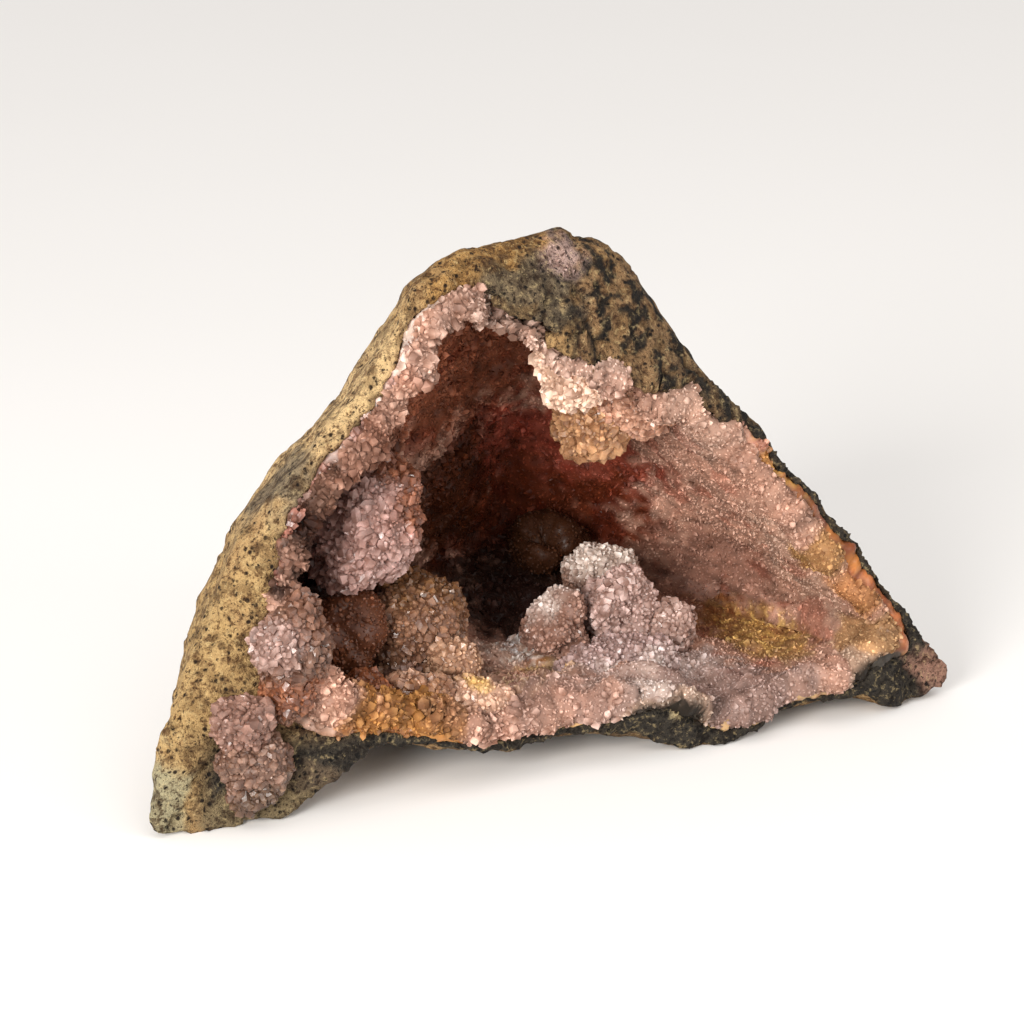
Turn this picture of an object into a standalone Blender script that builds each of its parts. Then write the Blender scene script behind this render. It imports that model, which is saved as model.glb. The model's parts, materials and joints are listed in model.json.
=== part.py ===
"""Half geode: a broken volcanic nodule with a crystal-lined hollow that opens to the front (-Y).

Run with blender --background --python part.py, or from Blender's text editor. Metres, +Z up.
The nodule is a family of nested skins lofted round the mouth. A skin is named by its depth into the
wall, from 0 on the weathered outside to 1 on the crystal tips, and each growth layer is the solid
between two skins. Crystal lumps that grew on the lining are separate solids, cut back to it.
"""
import math
from collections import namedtuple

import bmesh
import bpy
from mathutils import Matrix, Vector, noise

MM = 0.001  # every dimension below is in millimetres

# Driving dimensions
MIDDLE = Vector((5.66, 22.01, 0.0))  # the middle of the base, which becomes the origin
MOUTH_Y = -28.0  # the mouth's front edge at the ground
MOUTH_LEAN = 0.15  # how far the mouth leans back for each millimetre of height
BACK = Vector((22.0, 76.0, 39.0))  # the rearmost point of the outside
BACK_WALL = 15.0  # wall thickness at the back, crystals included
DEEP_WALL = 12.5  # wall thickness away from the mouth, crystals included
FLOOR_WALL = 11.0  # thickness of the floor over the flat underside
LAYER_GAP = 0.4  # clearance between two growth layers
LUMP_GAP = 0.45  # clearance between a lump and the lining or another lump
BREAK_GAP = 0.8  # clearance between a lump and the broken edge round the mouth
ROOT_SHARE = 0.5  # width of a lump at its root, as a share of its width at the head
NEAR_SHARE = 1.1  # lumps closer than this share of their reach are cut clear of each other
RING_POINTS = 66  # points round the mouth
# Rings from the mouth to the back: the share of the way to the fullest ring, the degrees of the dome
# from there to the back, and how many times the ring is smoothed
RINGS = [
    (0.0, 0, 0),
    (0.2, 0, 0),
    (0.6, 0, 1),
    (1.0, 0, 2),
    (1.0, 13, 5),
    (1.0, 26, 9),
    (1.0, 39, 14),
    (1.0, 52, 18),
    (1.0, 65, 20),
    (1.0, 77, 20),
]
OUTSIDE_ROUGHNESS = 1.3
LINING_ROUGHNESS = 1.8
LUMP_ROUGHNESS = 0.1  # as a share of the lump's size

# The mouth, clockwise as seen from the front, starting at the top. rim is the outer edge of the
# break and lip the inner edge, both as (x, z). rind and agate are the shares of the wall there that
# are host rock and agate. The outside swells by swell over the first run of its way back, and
# set_back moves that stretch of the break back from the mouth's plane.
Station = namedtuple("Station", "rim lip rind agate swell run taper set_back")
MOUTH = [
    Station((-14, 121), (-13, 115), 0.45, 0.25, 6, 8, 1.8, 0),
    Station((0, 115), (-3, 109), 0.45, 0.25, 19, 15, 1.5, 0),
    Station((14, 106), (10, 100), 0.40, 0.25, 27, 18, 1.4, 0),
    Station((28, 98), (24, 92), 0.40, 0.22, 18, 16, 1.4, 0),
    Station((40, 92), (36, 86), 0.40, 0.22, 9, 12, 1.4, 0),
    Station((53, 86), (47, 80), 0.30, 0.25, 2, 8, 1.5, 0),
    Station((65, 73), (58, 69), 0.28, 0.34, 0.5, 10, 1.5, 0),
    Station((76, 60), (68, 55), 0.28, 0.40, 0.5, 12, 1.5, 0),
    Station((88, 45), (79, 42), 0.28, 0.42, 0.5, 12, 1.5, 0),
    Station((98, 30), (87, 32), 0.30, 0.42, 0.5, 12, 1.5, 0),
    Station((108, 17), (92, 26), 0.50, 0.30, 0, 12, 1.5, 0),
    Station((116, 6), (94, 22), 0.62, 0.22, 0, 10, 1.6, 2),
    Station((108, 2), (91, 19), 0.66, 0.20, 1, 16, 1.6, 2),
    Station((95, 1), (87, 16), 0.68, 0.16, 4, 28, 1.5, 0),
    Station((86, 6), (82, 14), 0.40, 0.25, 8, 34, 1.4, 0),
    Station((74, 6), (73, 13), 0.30, 0.22, 8, 36, 1.4, 0),
    Station((63, 5), (63, 12), 0.30, 0.20, 7, 36, 1.4, 0),
    Station((54, 1), (54, 9), 0.30, 0.20, 4, 34, 1.4, -1),
    Station((43, 0), (42, 11), 0.42, 0.18, 4, 34, 1.4, -1),
    Station((33, 1), (30, 18), 0.72, 0.10, 5, 34, 1.4, 0),
    Station((23, 5), (21, 18), 0.62, 0.12, 8, 36, 1.4, 0),
    Station((11, 9), (10, 17), 0.35, 0.20, 12, 38, 1.4, 0),
    Station((-3, 10), (-3, 17), 0.30, 0.20, 13, 40, 1.4, 0),
    Station((-17, 9), (-17, 16), 0.35, 0.25, 10, 42, 1.4, 0),
    Station((-30, 11), (-30, 18), 0.35, 0.28, 10, 44, 1.4, 0),
    Station((-42, 15), (-42, 23), 0.35, 0.28, 11, 48, 1.4, 0),
    Station((-52, 14), (-51, 25), 0.45, 0.22, 8, 44, 1.5, 0),
    Station((-61, 9), (-56, 27), 0.60, 0.14, 8, 26, 1.6, 1),
    Station((-68, 2), (-59, 29), 0.68, 0.12, 0, 16, 1.7, 2),
    Station((-80, 0), (-61, 31), 0.72, 0.10, 0, 14, 1.8, 4),
    Station((-95, 0), (-63, 34), 0.75, 0.09, 0, 12, 1.9, 5),
    Station((-104, 2), (-65, 37), 0.76, 0.08, 0, 10, 2.0, 5),
    Station((-99, 12), (-66, 40), 0.74, 0.08, 6, 11, 2.0, 3),
    Station((-94, 23), (-67, 44), 0.70, 0.10, 13, 11, 2.0, 1),
    Station((-87, 36), (-68, 48), 0.60, 0.14, 13, 11, 2.0, 0),
    Station((-77, 49), (-68, 54), 0.48, 0.20, 8, 9, 2.0, 0),
    Station((-73, 60), (-67, 61), 0.42, 0.24, 4, 8, 2.0, 0),
    Station((-71, 73), (-64, 69), 0.42, 0.24, 2, 6, 2.2, 0),
    Station((-64, 81), (-58, 76), 0.42, 0.24, 1, 5, 2.4, 0),
    Station((-55, 90), (-49, 84), 0.42, 0.24, 1, 4, 2.6, 0),
    Station((-45, 98), (-39, 92), 0.42, 0.24, 1, 4, 2.6, 0),
    Station((-38, 108), (-30, 103), 0.40, 0.24, 0, 3, 2.8, 0),
    Station((-34, 119), (-27, 111), 0.40, 0.26, 0, 3, 2.6, 0),
    Station((-25, 123), (-21, 115), 0.42, 0.26, 1, 4, 2.1, 0),
]

# Lumps of crystals that grew on the lining, the earlier ones first. head is the middle of the lump,
# radii its half sizes, turn its roll about Y in degrees, root a point in the wall it grew from, and
# detail how finely it is divided.
Lump = namedtuple("Lump", "name head radii turn root detail")
LUMPS = [
    Lump("crystal_club_upper_left", (-38, 2, 62), (9.5, 9, 16.5), 28, (-37, 31, 55), 3),
    Lump("crystal_mound_left", (-25, 8, 31), (12.5, 11, 11), -10, (-27, 14, 9), 3),
    Lump("smooth_quartz_knob", (-46, 0, 34), (8, 8.5, 9), 0, (-62, 6, 28), 3),
    Lump("rim_crystals_left", (-71, -24, 42), (6.5, 5, 14), 8, (-74, -18, 42), 3),
    Lump("foot_crystals_upper", (-83, -25, 28), (6.5, 4.5, 6), 0, (-80, -12, 28), 2),
    Lump("foot_crystals_lower", (-80, -25, 15), (7.5, 5, 8), 20, (-76, -12, 18), 3),
    Lump("pale_knob_left", (-20, -6, 23), (4.8, 5, 6.5), 0, (-19, -4, 7), 2),
    Lump("ochre_tipped_knob", (-17, -17, 17.5), (6.2, 6, 5.5), 0, (-17, -13, 9), 2),
    Lump("front_cluster_center", (-33, -15, 19.5), (9, 7, 5.5), 0, (-33, -12, 13), 2),
    Lump("front_cluster_left", (-47, -17, 22.5), (6.5, 5, 4.5), 20, (-47, -14, 15), 2),
    Lump("pale_cluster_right", (35.5, 10, 26), (7, 7, 7), 0, (37, 13, 9), 3),
    Lump("pale_cluster_far_right", (48.5, 8, 19.5), (5.5, 6, 5), 0, (49, 11, 8), 2),
    Lump("frosted_arch", (37, 23, 31), (9.5, 5.5, 5), 0, (41, 30, 9), 2),
    Lump("frosted_ridge", (16.5, 8, 24), (4.5, 8, 6), 35, (19, 12, 8), 2),
    Lump("floor_ledge", (27, -5, 14.5), (16.5, 9, 6.5), -6, (28, -2, 9.5), 3),
    Lump("back_mound", (31, 42, 35), (8, 6.5, 5.5), 0, (35, 55, 26), 2),
    Lump("ceiling_cluster_upper", (21, 5, 92.5), (7.5, 8, 6), 0, (22, 10, 115), 2),
    Lump("ceiling_cluster_lower", (28, 13, 77), (7.5, 8, 7), 0, (38, 22, 88), 3),
    Lump("ceiling_cluster_right", (36, 3, 83), (7.5, 6.5, 4.8), 15, (41, 8, 94), 2),
]


def spline(a, b, c, d, t):
    """Catmull-Rom between b and c."""
    return 0.5 * (2 * b + (c - a) * t + (2 * a - 5 * b + 4 * c - d) * t * t + (3 * b - a - 3 * c + d) * t**3)


def mouth_at(turn):
    """The station at turn, from 0 to 1 round the mouth."""
    place = turn * len(MOUTH)
    first = math.floor(place)
    near = [MOUTH[(first + i) % len(MOUTH)] for i in (-1, 0, 1, 2)]
    t = place - first

    def blend(pick):
        return spline(*(pick(s) for s in near), t)

    return Station(
        rim=Vector((blend(lambda s: s.rim[0]), 0, blend(lambda s: s.rim[1]))),
        lip=Vector((blend(lambda s: s.lip[0]), 0, blend(lambda s: s.lip[1]))),
        rind=blend(lambda s: s.rind),
        agate=blend(lambda s: s.agate),
        swell=blend(lambda s: s.swell),
        run=blend(lambda s: s.run),
        taper=blend(lambda s: s.taper),
        set_back=blend(lambda s: s.set_back),
    )


def fade(low, high, x):
    t = min(1.0, max(0.0, (x - low) / (high - low)))
    return t * t * (3 - 2 * t)


def push(place):
    return Vector(noise.noise(place + Vector((17 * side, 5 * side, 0))) for side in range(3))


def roughness(point, size, seed):
    """A smooth push, about -1 to 1 along each axis, whose bumps are about size across."""
    place = point / size + Vector((seed, 2 * seed, 3 * seed))
    return push(place) + 0.5 * push(place * 2.3)


def skin_point(station, share, degrees, depth):
    """The point of the smooth skin at this depth, from 0 outside to 1 on the crystal tips."""
    out = (station.rim - station.lip).normalized()
    wall = (station.rim - station.lip).length
    inwards = share + math.sin(math.radians(degrees))
    thicker = max(0.0, DEEP_WALL - wall) * fade(0, 1.3, inwards)
    thinner = max(0.0, wall - DEEP_WALL) * fade(0.2, 1.6, inwards)
    start = station.rim.lerp(station.lip, depth) - out * (thicker * depth + thinner * (1 - depth))
    full = start + out * (station.swell * math.sin(share * math.pi / 2))
    y = MOUTH_Y + MOUTH_LEAN * station.rim.z + station.set_back + station.run * share
    turn = math.radians(degrees)
    shrink = math.cos(turn) ** station.taper
    x = BACK.x + (full.x - BACK.x) * shrink
    z = BACK.z + (full.z - BACK.z) * shrink
    y += (BACK.y - BACK_WALL * depth - y) * math.sin(turn)
    return Vector((x, y, z))


def skin(depth):
    """Rings of the rough skin at this depth, from the mouth to the back, cut off flat underneath."""
    stations = [mouth_at(i / RING_POINTS) for i in range(RING_POINTS)]
    rings = []
    for share, degrees, smoothing in RINGS:
        ring = [skin_point(station, share, degrees, depth) for station in stations]
        for _ in range(smoothing):
            ring = [(ring[i - 1] + ring[i] * 2 + ring[(i + 1) % len(ring)]) / 4 for i in range(len(ring))]
        for point in ring:
            outside = roughness(point, 26, 3) * OUTSIDE_ROUGHNESS
            lining = roughness(point, 19, 11) * LINING_ROUGHNESS
            point += (outside * (1 - depth) + lining * depth) * (0.35 + 0.65 * share)
            point.z = max(point.z, FLOOR_WALL * depth * share)
        rings.append(ring)
    return rings


def between(outer, inner, depth_of, clear):
    """Rings of the skin at depth_of(station) of the way between two skins, moved outwards by clear."""
    depths = [depth_of(mouth_at(i / RING_POINTS)) for i in range(RING_POINTS)]
    rings = [[a.lerp(b, depth) for a, b, depth in zip(*pair, depths)] for pair in zip(outer, inner)]
    moved = []
    for place, ring in enumerate(rings):
        before = rings[max(place - 1, 0)]
        after = rings[min(place + 1, len(rings) - 1)]
        moved.append([])
        for i, point in enumerate(ring):
            along = ring[(i + 1) % len(ring)] - ring[i - 1]
            normal = along.cross(after[i] - before[i]).normalized()
            moved[-1].append(point + normal * clear)
    return moved


def pole_of(ring):
    """The middle of the last ring, which closes the loft at the back."""
    return sum(ring, Vector()) / len(ring)


def shell_mesh(name, outer, inner):
    """A closed bowl between two lofts that share their rings, joined round the mouth."""
    bm = bmesh.new()

    def loft(rings, outwards):
        rows = [[bm.verts.new((point - MIDDLE) * MM) for point in ring] for ring in rings]
        count = len(rows[0])
        for near, far in zip(rows, rows[1:]):
            for i in range(count):
                j = (i + 1) % count
                for corners in ((near[i], near[j], far[j]), (near[i], far[j], far[i])):
                    bm.faces.new(corners if outwards else corners[::-1])
        pole = bm.verts.new((pole_of(rings[-1]) - MIDDLE) * MM)
        for i in range(count):
            corners = (rows[-1][i], rows[-1][(i + 1) % count], pole)
            bm.faces.new(corners if outwards else corners[::-1])
        return rows[0]

    outside = loft(outer, True)
    inside = loft(inner, False)
    for i in range(len(outside)):
        j = (i + 1) % len(outside)
        bm.faces.new((outside[j], outside[i], inside[i]))
        bm.faces.new((outside[j], inside[i], inside[j]))
    bmesh.ops.recalc_face_normals(bm, faces=bm.faces)
    mesh = bpy.data.meshes.new(name)
    bm.to_mesh(mesh)
    bm.free()
    return mesh


def lump_mesh(lump, grow):
    """A rough egg round the head, drawn out to the root, with its surface moved outwards by grow."""
    head = Vector(lump.head)
    root = Vector(lump.root)
    towards = (root - head).normalized()
    size = sum(lump.radii) / 3
    roll = Matrix.Rotation(math.radians(lump.turn), 3, "Y")
    bm = bmesh.new()
    bmesh.ops.create_icosphere(bm, subdivisions=lump.detail, radius=1)
    for vert in bm.verts:
        around = roll @ Vector(side * (radius + grow) for side, radius in zip(vert.co, lump.radii))
        facing = fade(-0.1, 0.9, around.normalized().dot(towards))
        point = (head + around).lerp(root + around * ROOT_SHARE, facing)
        vert.co = (point + roughness(point, size, 7) * size * LUMP_ROUGHNESS - MIDDLE) * MM
    bmesh.ops.recalc_face_normals(bm, faces=bm.faces)
    mesh = bpy.data.meshes.new(lump.name)
    bm.to_mesh(mesh)
    bm.free()
    return mesh


def add_cutter(name, mesh, collection):
    made = bpy.data.objects.new(name, mesh)
    made.hide_render = True
    made.display_type = "WIRE"
    collection.objects.link(made)
    return made


def cut(obj, cutter):
    away = obj.modifiers.new(cutter.name, "BOOLEAN")
    away.operation = "DIFFERENCE"
    away.solver = "EXACT"
    away.object = cutter


def near(first, second):
    """Whether two lumps may touch."""
    reach = max(first.radii) + max(second.radii) + LUMP_GAP
    return (Vector(first.head) - Vector(second.head)).length < reach * NEAR_SHARE


def material(name, colour, roughness_value):
    made = bpy.data.materials.new(name)
    made.use_nodes = True
    shader = made.node_tree.nodes["Principled BSDF"]
    shader.inputs["Base Color"].default_value = (*colour, 1)
    shader.inputs["Roughness"].default_value = roughness_value
    shader.inputs["Metallic"].default_value = 0.0
    return made


def add_object(name, mesh, finish, collection):
    made = bpy.data.objects.new(name, mesh)
    mesh.materials.append(finish)
    collection.objects.link(made)
    return made


def main():
    for obj in list(bpy.data.objects):
        bpy.data.objects.remove(obj)
    parts = bpy.data.collections.new("geode_half")
    bpy.context.scene.collection.children.link(parts)
    rock = material("host_rock", (0.42, 0.27, 0.11), 0.9)
    agate = material("agate", (0.5, 0.2, 0.07), 0.4)
    druse = material("pink_druse", (0.42, 0.25, 0.2), 0.35)
    lump_finish = material("pale_crystals", (0.44, 0.28, 0.24), 0.35)

    def rind_end(station):
        return station.rind

    def agate_end(station):
        return station.rind + station.agate

    half = LAYER_GAP / 2
    outside = skin(0)
    tips = skin(1)
    rind_inner = between(outside, tips, rind_end, half)
    agate_outer = between(outside, tips, rind_end, -half)
    agate_inner = between(outside, tips, agate_end, half)
    druse_outer = between(outside, tips, agate_end, -half)
    add_object("host_rock_rind", shell_mesh("host_rock_rind", outside, rind_inner), rock, parts)
    add_object("agate_band", shell_mesh("agate_band", agate_outer, agate_inner), agate, parts)
    add_object("druse_lining", shell_mesh("druse_lining", druse_outer, tips), druse, parts)

    # Every lump is cut clear of the wall and of the lumps that grew before it.
    cutters = bpy.data.collections.new("cutters")
    bpy.context.scene.collection.children.link(cutters)
    front = Vector((0, -BREAK_GAP, 0))
    wall_outer = [[point + front for point in outside[0]], *outside]
    cleared = between(outside, tips, lambda station: 1, -LUMP_GAP)
    wall_inner = [[point + front for point in cleared[0]], *cleared]
    wall = add_cutter("wall_cutter", shell_mesh("wall_cutter", wall_outer, wall_inner), cutters)
    grown = []
    for lump in LUMPS:
        crystals = add_object(lump.name, lump_mesh(lump, 0), lump_finish, parts)
        cut(crystals, wall)
        for earlier, cutter in grown:
            if near(lump, earlier):
                cut(crystals, cutter)
        grown.append((lump, add_cutter(f"{lump.name}_cutter", lump_mesh(lump, LUMP_GAP), cutters)))


main()
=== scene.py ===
# Geode half lying on its side: a weathered basalt shell, a thin agate rim and a pink druse cavity.
import json
import math
import bpy
import bmesh
import numpy as np
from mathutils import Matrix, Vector, noise

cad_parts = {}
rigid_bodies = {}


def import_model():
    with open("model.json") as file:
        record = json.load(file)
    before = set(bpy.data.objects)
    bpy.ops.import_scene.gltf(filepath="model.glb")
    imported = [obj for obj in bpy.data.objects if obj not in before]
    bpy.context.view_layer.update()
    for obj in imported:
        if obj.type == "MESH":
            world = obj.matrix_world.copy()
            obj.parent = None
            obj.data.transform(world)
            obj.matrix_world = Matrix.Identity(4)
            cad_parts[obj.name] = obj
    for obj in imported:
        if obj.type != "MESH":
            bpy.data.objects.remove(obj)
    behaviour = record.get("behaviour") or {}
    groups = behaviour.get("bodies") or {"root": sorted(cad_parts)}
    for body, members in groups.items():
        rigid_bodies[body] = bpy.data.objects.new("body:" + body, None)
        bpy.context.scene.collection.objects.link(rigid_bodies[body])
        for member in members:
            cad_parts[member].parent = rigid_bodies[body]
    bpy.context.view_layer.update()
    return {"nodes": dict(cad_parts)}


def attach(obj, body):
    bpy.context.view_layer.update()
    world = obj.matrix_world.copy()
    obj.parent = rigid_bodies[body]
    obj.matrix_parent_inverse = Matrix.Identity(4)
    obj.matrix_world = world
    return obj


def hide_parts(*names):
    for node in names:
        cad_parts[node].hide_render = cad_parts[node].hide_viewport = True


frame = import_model()
mm = 0.001
lean = 0.15  # the broken face leans back by this much with height
mouthNormal = np.array((0.0, -1.0, lean)) / math.hypot(1.0, lean)  # it looks this way


def tone(code):
    # a paint code such as "AD8D5D" as linear colour
    parts = [int(code[i:i + 2], 16) / 255 for i in (0, 2, 4)]
    return np.array([v / 12.92 if v <= 0.04045 else ((v + 0.055) / 1.055) ** 2.4 for v in parts])


def ramp(values, low, high):
    t = np.clip((values - low) / (high - low), 0, 1)
    return t * t * (3 - 2 * t)


def soft(points, size, seed=0.0):
    # rolling unevenness, -1 to 1, of about this size in millimetres
    shift = Vector((seed * 13.7 + 0.31, seed * 7.1 + 0.17, seed * 3.3 + 0.53))
    return np.array([noise.noise(Vector(p) / size + shift) for p in points])


def bubbles(points, size, seed=0.0):
    # rounded knobs side by side: 1 on their crowns, 0 in the creases
    shift = Vector((seed * 5.3 + 0.2, seed * 9.7 + 0.4, seed * 2.9 + 0.6))
    near = np.array([noise.voronoi(Vector(p) / size + shift)[0][0] for p in points])
    return np.sqrt(np.clip(1 - (near / 0.85) ** 2, 0, 1))


def waves(points, layers):
    # layers of unevenness added up, each (size, seed, height)
    return sum(height * soft(points, size, seed) for size, seed, height in layers)


def ridges(points, layers):
    return sum(height * np.abs(soft(points, size, seed)) for size, seed, height in layers)


def knobs(points, layers):
    return sum(height * bubbles(points, size, seed) for size, seed, height in layers)


def pointsOf(piece):
    count = len(piece.data.vertices)
    place, facing = np.zeros(count * 3), np.zeros(count * 3)
    piece.data.vertices.foreach_get("co", place)
    piece.data.vertices.foreach_get("normal", facing)
    return place.reshape(-1, 3) / mm, facing.reshape(-1, 3)


def movePoints(piece, points):
    piece.data.vertices.foreach_set("co", (points * mm).astype(np.float32).ravel())
    piece.data.update()


def keepValue(piece, name, values):
    spot = piece.data.attributes.new(name, "FLOAT", "POINT")
    spot.data.foreach_set("value", np.asarray(values, np.float32))


def keepLevels(piece, **levels):
    # the same value all over the piece for each of these attributes
    for name, level in levels.items():
        keepValue(piece, name, np.full(len(piece.data.vertices), level))


def keepColour(piece, name, colours):
    spot = piece.data.attributes.new(name, "FLOAT_COLOR", "POINT")
    full = np.concatenate((np.clip(colours, 0, 1), np.ones((len(colours), 1))), 1)
    spot.data.foreach_set("color", full.astype(np.float32).ravel())


def settle(piece):
    # the evaluated shape becomes the piece's own plain mesh
    bpy.context.view_layer.update()
    graph = bpy.context.evaluated_depsgraph_get()
    shape = piece.evaluated_get(graph)
    done = bpy.data.meshes.new_from_object(shape, preserve_all_data_layers=True, depsgraph=graph)
    piece.modifiers.clear()
    piece.data = done
    done.name = piece.name


def stoneCopy(name, node, grid):
    # a merged copy of the CAD solid on an even net of quads, ready to be worked
    mesh = frame["nodes"][node].data.copy()
    work = bmesh.new()
    work.from_mesh(mesh)
    bmesh.ops.remove_doubles(work, verts=work.verts, dist=1e-5)
    work.to_mesh(mesh)
    work.free()
    mesh.materials.clear()
    piece = bpy.data.objects.new(name, mesh)
    bpy.context.scene.collection.objects.link(piece)
    net = piece.modifiers.new("net", "REMESH")
    net.mode = "VOXEL"
    net.voxel_size = grid * mm
    net.use_smooth_shade = True
    settle(piece)
    return piece


def zone(points, centre, reach):
    # 1 at the centre, falling to 0 at the reach
    return ramp(1.0 - np.linalg.norm((points - np.array(centre)) / np.array(reach), axis=1), 0, 0.6)


def within(points, places):
    return np.max([zone(points, centre, reach) for centre, reach in places], axis=0)


def overlay(colours, share, code):
    return colours * (1 - share[:, None]) + tone(code) * share[:, None]


def paintStainsAndShade(points, ground, stainsAndShade, ragged=0.5):
    # stains and patches of painted shade, each (centre, reach, tone, strength); the edge of each wanders
    # with the grain of the stone
    colours = np.tile(tone(ground), (len(points), 1)) if isinstance(ground, str) else ground
    wander = soft(points, 7, 3) * ragged + soft(points, 2.6, 5) * ragged * 0.7
    for centre, reach, code, strength in stainsAndShade:
        away = np.linalg.norm((points - np.array(centre)) / np.array(reach), axis=1) + wander
        colours = overlay(colours, ramp(1.25 - away, 0, 0.6) * strength, code)
    return colours


mottling = dict(mean=0.99, layers=((2.4, 0, 0.5), (6, 1, 0.35)))  # sizes, seed steps and strengths


def mottle(points, seed):
    # uneven lightness, grain by grain
    layers = [(size, seed + step, strength) for size, step, strength in mottling["layers"]]
    return (mottling["mean"] + waves(points, layers))[:, None]


def facing(points, normals, target):
    # how squarely each face looks at the target: 1 straight at it, 0 edge on
    way = np.array(target) - points
    return (normals * way).sum(1) / np.linalg.norm(way, axis=1)


breakFace = dict(
    start=50.0, slope=lean,
    depth=9.0, out=[(11, 31, 2.0), (4.5, 32, 1.1)], aside=1.4,  # how ragged the broken layers are
)
browEdge = [  # along here the rind hangs over the layers under it
    ((-4, -33, 115), (16, 16, 9)),
    ((14, -33, 108), (22, 16, 10)),
    ((34, -33, 97), (18, 16, 10)),
    ((48, -33, 88), (12, 16, 9)),
]
bareFoot = [  # dark basalt shows through the front edge
    ((21, -51, 9), (16, 10, 9)),
    ((87, -49, 9), (14, 10, 9)),
]


def behindBreak(points):
    # how far a point lies behind the broken face, in millimetres
    return points[:, 1] + breakFace["start"] - breakFace["slope"] * points[:, 2]


def breakage(points):
    # one ragged break shared by every layer, strongest at the broken face
    near = ramp(breakFace["depth"] - behindBreak(points), 0, 8)
    out = waves(points, breakFace["out"])
    across = (soft(points, 7, 33), np.zeros(len(points)), soft(points, 7, 34))
    return near[:, None] * (out[:, None] * mouthNormal + np.stack(across, 1) * breakFace["aside"])


def finish(name):
    mat = bpy.data.materials.new(name)
    mat.use_nodes = True
    tree = mat.node_tree
    shader = tree.nodes["Principled BSDF"]
    return mat, tree, shader


def grainOf(tree, size, detail=4.0, rough=0.6, kind="ShaderNodeTexNoise"):
    # a pattern on Object coordinates; size in millimetres
    where = tree.nodes.new("ShaderNodeTexCoord")
    pattern = tree.nodes.new(kind)
    pattern.inputs["Scale"].default_value = 1.0 / (size * mm)
    if kind == "ShaderNodeTexNoise":
        pattern.inputs["Detail"].default_value = detail
        pattern.inputs["Roughness"].default_value = rough
    tree.links.new(where.outputs["Object"], pattern.inputs["Vector"])
    return pattern


def span(tree, source, low, high, out=(0.0, 1.0)):
    node = tree.nodes.new("ShaderNodeMapRange")
    node.interpolation_type = "SMOOTHSTEP"
    for key, value in (("From Min", low), ("From Max", high), ("To Min", out[0]), ("To Max", out[1])):
        node.inputs[key].default_value = value
    tree.links.new(source, node.inputs["Value"])
    return node.outputs["Result"]


def blendOf(tree, share, first, second, how="MIX"):
    node = tree.nodes.new("ShaderNodeMix")
    node.data_type = "RGBA"
    node.blend_type = how
    ins = [s for s in node.inputs if s.enabled]
    for socket, value in zip(ins, (share, first, second)):
        if isinstance(value, bpy.types.NodeSocket):
            tree.links.new(value, socket)
        elif socket.type == "RGBA":
            socket.default_value = (*value, 1.0)
        else:
            socket.default_value = value
    return [s for s in node.outputs if s.enabled][0]


def attributeOf(tree, name):
    node = tree.nodes.new("ShaderNodeAttribute")
    node.attribute_name = name
    return node


rockFinish = dict(pitSize=1.9, speckSize=0.75, roughness=(0.78, 0.97), bump=1.0)


def makeRock(name, pitSize, speckSize, roughness, bump):
    mat, tree, shader = finish(name)
    paint = attributeOf(tree, "paint").outputs["Color"]
    broad = grainOf(tree, 4.5, 6, 0.7).outputs["Fac"]
    mid = grainOf(tree, 1.7, 4, 0.7).outputs["Fac"]
    fine = grainOf(tree, speckSize, 3, 0.7).outputs["Fac"]
    pits = grainOf(tree, pitSize, kind="ShaderNodeTexVoronoi").outputs["Distance"]
    dark = blendOf(tree, 1.0, paint, tuple(tone("6E5540")), "MULTIPLY")
    black = blendOf(tree, 1.0, paint, tuple(tone("3A2C20")), "MULTIPLY")
    pale = blendOf(tree, 0.3, paint, tuple(tone("E8CC94")))
    col = blendOf(tree, span(tree, broad, 0.47, 0.62, (0.0, 0.75)), paint, dark)
    col = blendOf(tree, span(tree, mid, 0.53, 0.66, (0.0, 0.9)), col, pale)
    col = blendOf(tree, span(tree, mid, 0.47, 0.36, (0.0, 0.85)), col, dark)
    col = blendOf(tree, span(tree, fine, 0.44, 0.33), col, black)
    hole = span(tree, pits, 0.36, 0.14)
    gate = span(tree, grainOf(tree, 3.1, 3, 0.7).outputs["Fac"], 0.44, 0.56)
    both = tree.nodes.new("ShaderNodeMath")
    both.operation = "MULTIPLY"
    tree.links.new(hole, both.inputs[0])
    tree.links.new(gate, both.inputs[1])
    col = blendOf(tree, both.outputs[0], col, black)
    tree.links.new(col, shader.inputs["Base Color"])
    tree.links.new(span(tree, fine, 0.35, 0.65, roughness), shader.inputs["Roughness"])
    shader.inputs["Specular IOR Level"].default_value = 0.3
    grit = tree.nodes.new("ShaderNodeMath")
    grit.operation = "ADD"
    tree.links.new(fine, grit.inputs[0])
    tree.links.new(mid, grit.inputs[1])
    sink = tree.nodes.new("ShaderNodeMath")
    sink.operation = "SUBTRACT"
    tree.links.new(grit.outputs[0], sink.inputs[0])
    tree.links.new(both.outputs[0], sink.inputs[1])
    relief = tree.nodes.new("ShaderNodeBump")
    relief.inputs["Strength"].default_value = bump
    relief.inputs["Distance"].default_value = 1.2 * mm
    tree.links.new(sink.outputs[0], relief.inputs["Height"])
    tree.links.new(relief.outputs["Normal"], shader.inputs["Normal"])
    return mat


druseFinish = dict(grain=1.1, roughness=(0.22, 0.5), gloss=0.5, glow=0.1)
wallFinish = dict(grain=1.2, roughness=(0.35, 0.65), gloss=0.16, glow=0.05)
quartzFinish = dict(grain=2.2, roughness=(0.3, 0.55), gloss=0.35, glow=0.12)


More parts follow.
